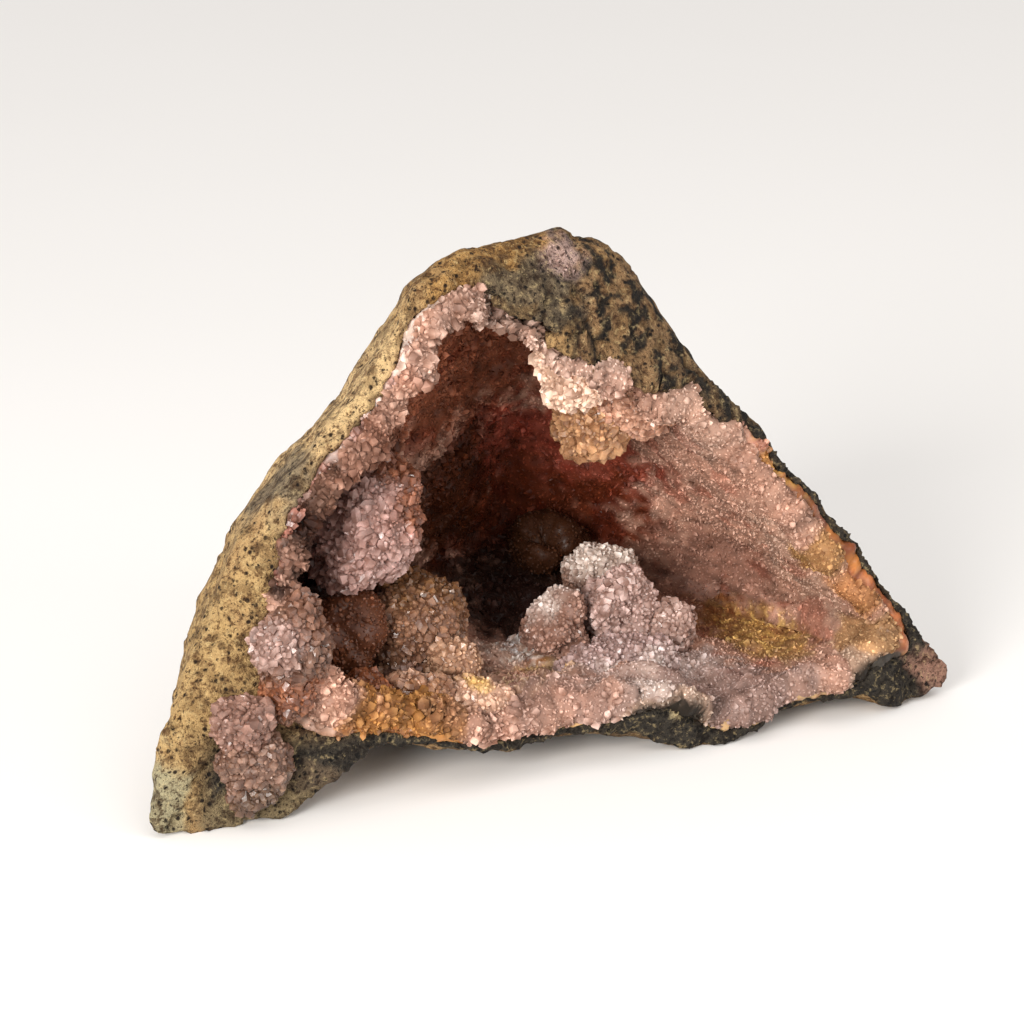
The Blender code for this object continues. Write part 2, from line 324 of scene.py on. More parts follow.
def makeDruse(name, grain, roughness, gloss, glow):
    # painted shade darkens the feet of the crystals between them; their points are painted lighter, partly
    # their own frosted tips and partly painted light through the clear quartz; each crystal a little
    # different
    mat, tree, shader = finish(name)
    paint = attributeOf(tree, "paint").outputs["Color"]
    tip = attributeOf(tree, "tip").outputs["Fac"]
    shade = attributeOf(tree, "shade").outputs["Fac"]
    fine = grainOf(tree, grain, 4, 0.6).outputs["Fac"]
    cloud = grainOf(tree, 5.5, 4, 0.6).outputs["Fac"]

    def times(base, rgb):
        return blendOf(tree, 1.0, base, rgb, "MULTIPLY")

    # painted shade at the feet of the crystals, painted light on their points
    shadedFoot, point = times(paint, (0.58, 0.5, 0.46)), times(paint, (1.28, 1.32, 1.36))
    col = blendOf(tree, span(tree, tip, 0.05, 0.95), shadedFoot, point)
    for source, low, high, share, factor in (
        (shade, 0.0, 0.75, (0.75, 0.0), (0.62, 0.57, 0.55)),  # the darker crystals
        (shade, 0.82, 1.0, (0.0, 0.6), (1.7, 1.75, 1.8)),  # a few that catch the light
        (cloud, 0.42, 0.66, (0.0, 0.6), (0.74, 0.68, 0.65)),
        (fine, 0.54, 0.7, (0.0, 0.6), (1.5, 1.5, 1.5)),
    ):
        col = blendOf(tree, span(tree, source, low, high, share), col, times(col, factor))
    tree.links.new(col, shader.inputs["Base Color"])
    tree.links.new(span(tree, fine, 0.35, 0.65, roughness), shader.inputs["Roughness"])
    shader.inputs["IOR"].default_value = 1.54
    shader.inputs["Specular IOR Level"].default_value = gloss
    shader.inputs["Subsurface Weight"].default_value = glow
    shader.inputs["Subsurface Radius"].default_value = (1.0, 0.55, 0.45)
    shader.inputs["Subsurface Scale"].default_value = 0.002
    relief = tree.nodes.new("ShaderNodeBump")
    relief.inputs["Strength"].default_value = 0.35
    relief.inputs["Distance"].default_value = 0.25 * mm
    tree.links.new(fine, relief.inputs["Height"])
    tree.links.new(relief.outputs["Normal"], shader.inputs["Normal"])
    return mat


rock = makeRock("weathered basalt", **rockFinish)
druse = makeDruse("druse", **druseFinish)
wallDruse = makeDruse("wall druse", **wallFinish)
quartz = makeDruse("smoky quartz", **quartzFinish)
print("finishes made")


crystalShapes = {
    "prisms": [
        dict(sides=6, waist=0.46, shoulder=0.2, peak=0.62, skew=0.06),
        dict(sides=6, waist=0.4, shoulder=0.34, peak=0.7, skew=-0.12),
        dict(sides=6, waist=0.54, shoulder=0.1, peak=0.48, skew=0.16),
    ],
    "sugar": [
        dict(sides=5, waist=0.52, shoulder=None, peak=0.42, skew=0.12),
        dict(sides=5, waist=0.46, shoulder=None, peak=0.5, skew=-0.18),
    ],
}


def crystalShape(name, sides, waist, shoulder, peak, skew):
    # a unit high crystal with a blunt, uneven point; sugar grains have no prism below the point
    work = bmesh.new()
    rings = []
    for level, width in ((-0.45, waist), (shoulder, waist * 0.92)) if shoulder else ((-0.4, waist),):
        ring = []
        for k in range(sides):
            turn = 2 * math.pi * k / sides
            lift = 0.09 * (-1) ** k if level > 0 else 0
            ring.append(work.verts.new((width * math.cos(turn), width * math.sin(turn), level + lift)))
        rings.append(ring)
    top = work.verts.new((skew, skew * 0.6, peak))
    work.faces.new(list(reversed(rings[0])))
    for low, high in zip(rings, rings[1:]):
        for k in range(sides):
            work.faces.new((low[k], low[(k + 1) % sides], high[(k + 1) % sides], high[k]))
    for k in range(sides):
        work.faces.new((rings[-1][k], rings[-1][(k + 1) % sides], top))
    mesh = bpy.data.meshes.new(name)
    work.to_mesh(mesh)
    work.free()
    piece = bpy.data.objects.new(name, mesh)
    heights = np.array([v.co.z for v in mesh.vertices])
    keepValue(piece, "tip", ramp(heights, -0.2, heights.max()))
    return piece


kinds = {}
for family, shapes in crystalShapes.items():
    kinds[family] = bpy.data.collections.new(family)
    for i, shape in enumerate(shapes):
        kinds[family].objects.link(crystalShape(f"{family}{i}", **shape))


def growthTree(keepBase):
    # crystals strewn over a surface, standing on it with a little lean
    tree = bpy.data.node_groups.new("crystal growth", "GeometryNodeTree")
    face = tree.interface
    face.new_socket("Geometry", in_out="INPUT", socket_type="NodeSocketGeometry")
    face.new_socket("Crystals", in_out="INPUT", socket_type="NodeSocketCollection")
    for label in ("Spacing", "Density", "Smallest", "Largest", "Lean"):
        face.new_socket(label, in_out="INPUT", socket_type="NodeSocketFloat")
    face.new_socket("Seed", in_out="INPUT", socket_type="NodeSocketInt")
    face.new_socket("Finish", in_out="INPUT", socket_type="NodeSocketMaterial")
    face.new_socket("Geometry", in_out="OUTPUT", socket_type="NodeSocketGeometry")
    n, link = tree.nodes, tree.links.new
    start, end = n.new("NodeGroupInput"), n.new("NodeGroupOutput")
    given = start.outputs

    def named(label):
        node = n.new("GeometryNodeInputNamedAttribute")
        node.data_type = "FLOAT"
        node.inputs["Name"].default_value = label
        return [s for s in node.outputs if s.enabled and s.name == "Attribute"][0]

    strew = n.new("GeometryNodeDistributePointsOnFaces")
    strew.distribute_method = "POISSON"
    link(given["Geometry"], strew.inputs["Mesh"])
    link(given["Spacing"], strew.inputs["Distance Min"])
    link(given["Density"], strew.inputs["Density Max"])
    link(named("grow"), strew.inputs["Density Factor"])
    link(given["Seed"], strew.inputs["Seed"])

    def chance(kind, low, high, offset):
        node = n.new("FunctionNodeRandomValue")
        node.data_type = kind
        ins = [s for s in node.inputs if s.enabled]
        for socket, value in zip(ins[:2], (low, high)):
            if isinstance(value, bpy.types.NodeSocket):
                link(value, socket)
            else:
                socket.default_value = value
        plus = n.new("ShaderNodeMath")
        plus.operation = "ADD"
        link(given["Seed"], plus.inputs[0])
        plus.inputs[1].default_value = offset
        link(plus.outputs[0], ins[-1])
        return [s for s in node.outputs if s.enabled][0]

    leanLow = n.new("ShaderNodeCombineXYZ")
    leanHigh = n.new("ShaderNodeCombineXYZ")
    minus = n.new("ShaderNodeMath")
    minus.operation = "MULTIPLY"
    minus.inputs[1].default_value = -1
    link(given["Lean"], minus.inputs[0])
    for axis in "XY":
        link(minus.outputs[0], leanLow.inputs[axis])
        link(given["Lean"], leanHigh.inputs[axis])
    leanHigh.inputs["Z"].default_value = 6.283
    turn = n.new("FunctionNodeRotateRotation")
    turn.rotation_space = "LOCAL"
    link(strew.outputs["Rotation"], turn.inputs["Rotation"])
    link(chance("FLOAT_VECTOR", leanLow.outputs[0], leanHigh.outputs[0], 11), turn.inputs["Rotate By"])
    grown = n.new("ShaderNodeMath")
    grown.operation = "MULTIPLY"
    few = n.new("ShaderNodeMath")  # many small crystals, few large ones
    few.operation = "POWER"
    few.inputs[1].default_value = 2.4
    link(chance("FLOAT", 0.0, 1.0, 23), few.inputs[0])
    sized = n.new("ShaderNodeMapRange")
    link(few.outputs[0], sized.inputs["Value"])
    link(given["Smallest"], sized.inputs["To Min"])
    link(given["Largest"], sized.inputs["To Max"])
    link(sized.outputs["Result"], grown.inputs[0])
    link(named("size"), grown.inputs[1])
    shapes = n.new("GeometryNodeCollectionInfo")
    shapes.inputs["Separate Children"].default_value = True
    shapes.inputs["Reset Children"].default_value = True
    link(given["Crystals"], shapes.inputs["Collection"])
    place = n.new("GeometryNodeInstanceOnPoints")
    place.inputs["Pick Instance"].default_value = True
    link(strew.outputs["Points"], place.inputs["Points"])
    link(shapes.outputs[0], place.inputs["Instance"])
    link(chance("INT", 0, 9, 37), place.inputs["Instance Index"])
    link(turn.outputs[0], place.inputs["Rotation"])
    link(grown.outputs[0], place.inputs["Scale"])
    mark = n.new("GeometryNodeStoreNamedAttribute")
    mark.data_type = "FLOAT"
    mark.domain = "INSTANCE"
    mark.inputs["Name"].default_value = "shade"
    link(place.outputs[0], mark.inputs["Geometry"])
    link(chance("FLOAT", 0.0, 1.0, 41), [s for s in mark.inputs if s.enabled and s.name == "Value"][0])
    crop = mark.outputs[0]
    if keepBase:
        join = n.new("GeometryNodeJoinGeometry")
        link(crop, join.inputs[0])
        link(given["Geometry"], join.inputs[0])
        crop = join.outputs[0]
    real = n.new("GeometryNodeRealizeInstances")
    link(crop, real.inputs[0])
    coated = n.new("GeometryNodeSetMaterial")
    link(real.outputs[0], coated.inputs["Geometry"])
    link(given["Finish"], coated.inputs["Material"])
    link(coated.outputs[0], end.inputs["Geometry"])
    return tree


growthAlone, growthWithBase = growthTree(False), growthTree(True)


def grow(piece, tree, mat, family, spacing, size, lean, seed):
    # spacing and the smallest and largest size are in millimetres
    growth = piece.modifiers.new("growth", "NODES")
    growth.node_group = tree
    values = {
        "Crystals": kinds[family], "Spacing": spacing * mm, "Density": 1.5 / (spacing * mm) ** 2,
        "Smallest": size[0] * mm, "Largest": size[1] * mm, "Lean": lean, "Seed": seed, "Finish": mat,
    }
    for socket in tree.interface.items_tree:
        if socket.in_out == "INPUT" and socket.name in values:
            growth[socket.identifier] = values[socket.name]
    settle(piece)


def crystalCoat(name, base, mat, where, **growth):
    # a layer of crystals alone, grown where the mask is above zero
    piece = bpy.data.objects.new(name, base.data.copy())
    bpy.context.scene.collection.objects.link(piece)
    keepValue(piece, "grow", where)
    grow(piece, growthAlone, mat, **growth)
    return piece


def dress(piece, mat, slot, *nodes):
    piece.data.materials.clear()
    piece.data.materials.append(mat)
    piece.data.polygons.foreach_set("material_index", np.zeros(len(piece.data.polygons), np.int32))
    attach(piece, "root")
    if nodes:
        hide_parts(*nodes)


hostRock = dict(
    grid=1.15,  # millimetres between the points of the net
    rolling=[(9, 1, 0.8), (3.6, 2, 0.45)],
    swells=[(24, 13, 2.2)], dents=[(14, 14, 2.4)],  # only well behind the break
    pitSize=3.2, pitDepth=0.75,
    crags=[(4.2, 11, 1.0), (2.1, 12, 0.6)], brokenDepth=1.5,
    ground="B08C5E",
    stainsAndShade=[
        ((-60, -5, 95), (60, 60, 40), "E2C08C", 0.85),
        ((-100, -30, 40), (30, 40, 60), "BE9C68", 0.9),
        ((-5, -10, 124), (36, 50, 18), "A87E46", 0.9),
        ((30, -10, 105), (34, 60, 32), "8E6E4C", 0.95),
        ((70, -10, 60), (34, 60, 42), "5E472E", 0.95),
        ((-4, -31, 119), (13, 8, 9), "5E5546", 0.85),
        ((-71, -27, 79), (9, 14, 13), "6C6152", 0.8),
        ((0, 10, -2), (120, 80, 14), "5A4634", 0.7),
        ((20, 50, 50), (60, 30, 50), "8E6C40", 0.6),
    ],
    blotch="6A4E2C", speck="181410", fresh="38322A",
    lateStains=[  # over the fresh basalt
        ((-107, -44, 12), (6, 8, 16), "A8A080", 0.9),
        ((7, -26, 126), (6, 6, 5), "B89A90", 0.9),
        ((-72, -48, 6), (10, 8, 6), "6A5844", 0.8),
        ((-84, -48, 3), (18, 8, 5), "8A7858", 0.8),
        ((105, -46, 11), (8, 12, 7), "A07866", 0.9),
        ((31, -51, 12), (2.6, 6, 2.2), "C4B490", 0.95),
        ((26, -51, 8), (2.2, 6, 1.8), "B4A27C", 0.95),
        ((35, -51, 8), (1.8, 6, 2.4), "A8946C", 0.95),
    ],
    bulges=[  # (centre, reach, shift)
        ((20, -33, 104), (30, 14, 17), (-1.0, -2.6, -4.6)),
        ((-4, -33, 114), (16, 14, 11), (-0.3, -1.6, -1.6)),
        ((46, -33, 88), (16, 14, 13), (0.0, -2.2, -2.6)),
        ((20, -50, 9), (15, 10, 9), (0.0, -2.6, 3.4)),
        ((87, -48, 7), (12, 10, 8), (0.0, -2.0, 3.0)),
        ((-62, -48, 10), (10, 10, 8), (1.0, -2.5, 1.5)),
        ((-96, -25, 34), (46, 60, 62), (-4.2, -0.5, 0.0)),
        ((-24, -26, 122), (16, 30, 16), (-0.8, 0.0, 2.4)),
    ],
    window=((7, -27, 126), (8, 8, 7)),  # a patch of crystals grown on the top of the brow
    windowCrystals=dict(family="sugar", spacing=1.1, size=(0.8, 2.0), lean=1.0, seed=9),
)


def shapeRock(s, p, n, broken):
    lift = waves(p, s["rolling"])
    lift += ramp(behindBreak(p), 10, 30) * (waves(p, s["swells"]) - ridges(p, s["dents"]))
    pits = bubbles(p, s["pitSize"], 4) * ramp(soft(p, 6, 8), -0.25, 0.35)
    lift -= ramp(pits, 0.6, 1.0) * s["pitDepth"] * (1 - broken)
    lift += broken * (0.6 - ridges(p, s["crags"]) * 1.6) * s["brokenDepth"]
    moved = p + n * lift[:, None] + breakage(p)
    for centre, reach, shift in s["bulges"]:
        way = np.array(shift) / np.linalg.norm(shift)
        share = zone(p, centre, reach) * ramp(n @ way, -0.1, 0.4)
        moved += share[:, None] * np.array(shift)
    moved[:, 2] = np.maximum(moved[:, 2], 0.0)  # nothing goes under the floor
    return moved


def paintRock(s, p, broken):
    colours = paintStainsAndShade(p, s["ground"], s["stainsAndShade"])
    blotches = ramp(soft(p, 4.2, 61) + 0.5 * soft(p, 2, 62), 0.12, 0.4)
    colours = overlay(colours, 0.6 * blotches, s["blotch"])
    brow = ramp(p[:, 0], -12, 14) * ramp(p[:, 2], 20, 60)
    specks = ramp(soft(p, 2.9, 63) + 0.4 * soft(p, 5, 64), -0.02, 0.14)
    colours = overlay(colours, 0.95 * brow * specks, s["speck"])
    low = ramp(30 - p[:, 2], 0, 14) * broken
    fresh = np.clip(low + broken * ramp(p[:, 0], 20, 60) * 0.9, 0, 1)  # dark where it broke last
    fresh *= ramp(soft(p, 8, 9), -0.95, -0.5) * ramp(p[:, 0], -104, -92)
    colours = overlay(colours, fresh, s["fresh"])
    return paintStainsAndShade(p, colours, s["lateStains"])


def makeHostRock(s):
    piece = stoneCopy("hostRock", "host_rock_rind", s["grid"])
    p, n = pointsOf(piece)
    broken = ramp(n @ mouthNormal, 0.1, 0.5) * ramp(9.0 - behindBreak(p), 0, 5)
    movePoints(piece, shapeRock(s, p, n, broken))
    keepColour(piece, "paint", paintRock(s, p, broken))
    keepLevels(piece, size=1.0, tip=0.5, shade=0.5)
    sprouts = zone(p, *s["window"]) * ramp(soft(p, 2.5, 65), -0.35, 0.0)
    window = crystalCoat("browCrystals", piece, druse, sprouts, **s["windowCrystals"])
    dress(window, druse, "lilac_crystals")
    dress(piece, rock, "host_rock", "host_rock_rind")


makeHostRock(hostRock)
print("host rock worked")


agateRim = dict(
    grid=1.1,
    knobs=[(3.0, 2, 0.9)], grain=[(2.0, 6, 0.7)],
    tucked=5.0,  # how far the rim is set back under the brow
    ground="D2B09E",
    stainsAndShade=[
        ((-50, -36, 95), (45, 14, 45), "E6D0C4", 0.9),
        ((0, -34, 110), (45, 14, 20), "DCC4B0", 0.9),
        # painted shade in the notch of the left rim
        ((-72, -38, 60), (12, 14, 20), "5E4030", 0.95),
        ((52, -38, 80), (16, 12, 16), "C08A70", 0.8),
        ((64, -40, 62), (14, 12, 14), "C08C3E", 0.9),
        ((76, -43, 42), (14, 12, 16), "B46E28", 0.95),
        ((86, -46, 22), (14, 12, 14), "A65E2C", 0.95),
        ((60, -48, 8), (34, 12, 10), "C2A070", 0.9),
        ((0, -50, 14), (45, 12, 10), "C89E66", 0.85),
        ((-46, -48, 18), (24, 12, 12), "B87E40", 0.95),
        ((-80, -46, 26), (14, 12, 22), "9E7A66", 0.8),
        ((20, -50, 10), (16, 8, 8), "4A3E30", 0.9),
        # painted shade on the inner side of the left rim
        ((-65, -37, 79), (9, 12, 9), "76564A", 0.85),
    ],
    rust="7A3416", fleck="9A6252", basalt="38322A",
    crystals=dict(family="prisms", spacing=0.9, size=(0.9, 2.7), lean=1.1, seed=5),
)


def paintAgate(s, p, front):
    colours = paintStainsAndShade(p, s["ground"], s["stainsAndShade"])
    rightEnd = ramp(p[:, 0], 50, 66)
    lowLeft = ramp(-25 - p[:, 0], 0, 10) * ramp(24 - p[:, 2], 0, 8)
    rusty = ramp(soft(p, 5, 16) + 0.6 * soft(p, 2.2, 17), 0.0, 0.35) * np.maximum(rightEnd, lowLeft)
    colours = overlay(colours, 0.75 * rusty, s["rust"])
    flecks = ramp(soft(p, 3.2, 14) + soft(p, 1.6, 15) * 0.6, 0.12, 0.4) * ramp(p[:, 2], 45, 60)
    colours = overlay(colours, 0.75 * flecks, s["fleck"]) * mottle(p, 91)
    return overlay(colours, ramp(within(p, bareFoot), 0.1, 0.4) * front, s["basalt"])


def makeAgateRim(s):
    piece = stoneCopy("agateRim", "agate_band", s["grid"])
    p, n = pointsOf(piece)
    front = ramp(6.0 - behindBreak(p), 0, 4)
    under = within(p, browEdge)
    hidden = (under * front)[:, None]
    lift = (knobs(p, s["knobs"]) + waves(p, s["grain"])) * (0.2 + front)
    moved = p + n * lift[:, None] * (1 - hidden) + breakage(p)
    movePoints(piece, moved - s["tucked"] * hidden * mouthNormal)
    keepColour(piece, "paint", paintAgate(s, p, front))
    keepLevels(piece, tip=0.55, shade=0.5, size=1.0)
    brow = np.maximum(under, ramp(p[:, 0], 0, 6) * ramp(p[:, 2], 80, 90))
    upper = ramp(p[:, 2] - 0.55 * p[:, 0], 30, 50)
    gaps = ramp(soft(p, 7, 51), -0.6, -0.1)
    crust = ramp(n @ mouthNormal, 0.5, 0.8) * front * upper * gaps * (1 - ramp(brow, 0.1, 0.4))
    crystals = crystalCoat("rimCrystals", piece, druse, crust, **s["crystals"])
    dress(piece, quartz, "agate", "agate_band")
    dress(crystals, druse, "lilac_crystals")


makeAgateRim(agateRim)
print("agate rim worked")


druseWall = dict(
    grid=1.05,
    heart=(5.0, -20.0, 50.0), mouth=(5.0, -42.0, 48.0),  # faces that look here are seen from outside
    knobs=[(13, 1, 2.6), (6, 3, 1.5), (3, 5, 0.5)], grain=[(2.2, 4, 0.3)],
    floorKnobs=[(10, 61, 4.0), (5.5, 62, 1.6)], floorSink=1.0,
    nearWaves=[(9, 63, 2.0), (5, 64, 1.0)],
    breakKnobs=[(8, 6, 1.8), (4, 7, 1.2), (2.2, 8, 0.5)],
    breakWaves=[(13, 9, 2.4), (6, 10, 1.4)],
    lowLip=((26, -40, 12), (36, 14, 12)), lipDrop=2.6,
    notch=((-66, -38, 60), (12, 14, 18)), notchDepth=4.5,
    thinned=3.2, tucked=6.0,
    ground="C09884",
    stainsAndShade=[
        # the ceiling, back wall and back floor are darkened: partly the stone's own iron colours, partly
        # painted shade of the deep cavity
        ((-10, 5, 98), (42, 50, 30), "864D33", 0.95),
        ((25, 28, 60), (42, 30, 20), "964634", 0.95),
        ((26, 40, 38), (42, 34, 24), "6C321B", 0.97),
        ((20, 25, 22), (34, 24, 12), "301E16", 0.95),
        # painted shadow of the left rim over the left of the hollow
        ((-50, 4, 46), (26, 30, 38), "2C150C", 0.96),
        # the deep hollow: partly iron colour, partly painted shade
        ((-8, 24, 52), (22, 20, 24), "4A240F", 0.95),
        ((76, -30, 40), (16, 16, 34), "C8A894", 0.85),
        ((69, 4, 26), (18, 18, 16), "9C7464", 0.8),
        ((40, -30, 84), (18, 12, 14), "C4A492", 0.8),
        ((76, -36, 50), (5, 8, 12), "B08E5E", 0.7),
        ((70, -6, 12), (12, 15, 7), "926A3C", 0.9),
        ((74, -22, 9), (12, 14, 6), "B48E58", 0.85),
        ((44, -34, 10), (16, 14, 8), "A69086", 0.8),
        ((6, -12, 11), (18, 12, 7), "C2A898", 0.9),
        # the floor deep in the hollow: partly its own dark colour, partly painted shade
        ((10, 13, 17), (19, 15, 12), "34201A", 0.95),
        ((3, -28, 12), (11, 10, 7), "A88648", 0.85),
        ((26, -47, 17), (18, 9, 7), "F0E4DC", 0.95),
        ((-4, -40, 14), (30, 16, 8), "B29082", 0.8),
        ((-52, -44, 18), (20, 12, 9), "9C6C34", 0.95),
        ((86, -46, 19), (8, 12, 10), "AE8A5C", 0.8),
        ((74, -42, 48), (6, 10, 14), "AA8048", 0.8),
        ((81, -44, 32), (6, 10, 12), "B47C46", 0.8),
        ((-24, -30, 15), (16, 14, 7), "A07C66", 0.7),
        # painted shadow of the left rim, low at the left
        ((-60, -30, 20), (14, 14, 8), "3A1C12", 0.95),
        ((30, -30, 12), (24, 12, 8), "D2C2BC", 0.8),
        # the next three: painted shade on the inner side of the left rim, darkest in the notch
        ((-62, -34, 78), (16, 14, 34), "86604F", 0.8),
        ((-67, -38, 75), (9, 12, 11), "664A3C", 0.9),
        ((-64, -36, 60), (11, 12, 17), "2C150C", 0.95),
        ((30, -46, 12), (40, 8, 9), "B49C92", 0.7),
        ((44, -46, 9), (20, 12, 10), "A08880", 0.8),
        ((20, -51, 8), (13, 6, 5), "2E2820", 0.95),
        ((5, -32, 108), (40, 10, 14), "E2C8B8", 0.6),
    ],
    lace=[  # a net of fine pale lines
        ((5, -10, 12), (18, 14, 9), "FFF8F0", 1.0),
        ((72, -13, 11), (17, 22, 9), "EAC274", 0.9),
        ((-12, -30, 16), (22, 18, 9), "D6BC8C", 0.55),
    ],
    # the inner edge tone is painted shade for the inner side of the upper left rim
    rust="D08A74", innerEdgeShade="5C3828", beigeLine="CCB29C", basalt="2E2820",
    sugar=dict(family="sugar", spacing=0.85, size=(0.8, 2.5), lean=1.0),
    sugarParts={  # each from x, to x, seed
        "wallSugarRight": (25, 200, 3),
        "wallSugarMiddle": (-15, 25, 4),
        "wallSugarLeft": (-200, -15, 7),
    },
    prisms=dict(family="prisms", spacing=1.7, size=(0.9, 2.9), lean=1.1, seed=6),
)


def wallRegions(s, p, n):
    # where on the wall each point lies, as shares from 0 to 1
    back = behindBreak(p)
    inward = ramp(facing(p, n, s["heart"]), 0.0, 0.35)
    front = ramp(n @ mouthNormal, 0.1, 0.5) * ramp(9.0 - back, 0, 4)
    upperLeft = ramp(-16 - p[:, 0], 0, 10) * ramp(p[:, 2] + 0.5 * p[:, 0], 28, 44)
    return dict(
        back=back, inward=inward, front=front, brow=within(p, browEdge),
        floor=inward * ramp(n[:, 2], 0.2, 0.6) * ramp(26 - p[:, 2], 0, 10)
        * ramp(62 - p[:, 0], 0, 14) * ramp(back, 1, 6),
        inner=inward * upperLeft * ramp(back, 0.5, 3) * ramp(22 - back, 0, 8),
        bare=within(p, bareFoot) * ramp(4.0 - back, 0, 2),
    )


def shapeWall(s, p, n, back, inward, front, brow, floor, inner, bare):
    rugged = 0.7 + 0.5 * ramp(20 - p[:, 0] + 0.7 * np.abs(p[:, 2] - 50), 0, 40)
    lift = inward * rugged * (knobs(p, s["knobs"]) + waves(p, s["grain"]))
    lift += floor * (knobs(p, s["floorKnobs"]) - s["floorSink"])
    lift += inward * ramp(20 - back, 0, 10) * waves(p, s["nearWaves"])
    lift += front * (1 - inward) * knobs(p, s["breakKnobs"])
    lift -= inward * ramp(n[:, 2], 0.3, 0.7) * zone(p, *s["lowLip"]) * s["lipDrop"]
    lift -= inner * s["thinned"]  # the rim stays a narrow crust at the upper left
    lift *= 1 - brow * front
    ragged = waves(p, s["breakWaves"]) - s["notchDepth"] * zone(p, *s["notch"]) - s["tucked"] * brow
    ragged *= front * ramp(9 - back, 0, 5)
    return p + n * lift[:, None] + breakage(p) + ragged[:, None] * mouthNormal


def paintWall(s, p, back, inner, bare):
    colours = paintStainsAndShade(p, s["ground"], s["stainsAndShade"])
    # rust grows with depth behind the break: partly the real iron stain, partly painted shade of the deep
    # hollow
    rust = 0.5 * ramp(soft(p, 10, 41) + 0.5 * soft(p, 3.5, 42), 0.1, 0.5) * ramp(back, 2, 18)
    colours = colours * (1 - rust[:, None] * (1 - tone(s["rust"])))
    # thin lines where the noise crosses zero
    veins = ramp(0.15 - np.abs(soft(p, 3.4, 71) + 0.3 * soft(p, 1.5, 72)), 0, 0.07)
    for centre, reach, code, strength in s["lace"]:
        colours = overlay(colours, veins * zone(p, centre, reach) * strength, code)
    # painted shade on the inner side of the upper left rim
    colours = overlay(colours, 0.8 * inner, s["innerEdgeShade"]) * mottle(p, 93)
    colours = overlay(colours, 0.8 * ramp(bare, 0.02, 0.12), s["beigeLine"])
    return overlay(colours, ramp(bare, 0.12, 0.3), s["basalt"])


def makeDruseWall(s):
    piece = stoneCopy("druseWall", "druse_lining", s["grid"])
    p, n = pointsOf(piece)
    at = wallRegions(s, p, n)
    movePoints(piece, shapeWall(s, p, n, **at))
    keepColour(piece, "paint", paintWall(s, p, at["back"], at["inner"], at["bare"]))
    coarse = ramp(soft(p, 14, 21) - p[:, 0] / 90, -0.25, 0.35)
    # tip 0.3 gives the bare wall between the crystals much of the painted shade of the crystal feet
    keepLevels(piece, tip=0.3, shade=0.5)
    keepValue(piece, "size", 0.8 + 0.4 * coarse)
    seen = ramp(facing(p, n, s["mouth"]), 0.02, 0.2)
    overhung = ramp(at["brow"], 0.1, 0.4) * ramp(p[:, 2] - 110 + 0.55 * p[:, 0], -5, -1)
    crust = np.maximum(np.maximum(at["inward"], at["front"] * (1 - overhung)), seen)
    crust *= 1 - ramp(at["bare"], 0.3, 0.6)
    for name, (low, high, seed) in s["sugarParts"].items():
        part = ramp(p[:, 0] - low, -0.1, 0.1) * ramp(high - p[:, 0], -0.1, 0.1)
        coat = crystalCoat(name, piece, wallDruse, crust * part, seed=seed, **s["sugar"])
        dress(coat, wallDruse, "pink_druse")
    sparse = crust * np.maximum(0.08 + 0.6 * coarse, 0.9 * at["front"])
    coat = crystalCoat("wallPrisms", piece, wallDruse, sparse, **s["prisms"])
    dress(coat, wallDruse, "pink_druse")
    dress(piece, wallDruse, "pink_druse", "druse_lining")


makeDruseWall(druseWall)
print("druse wall worked")


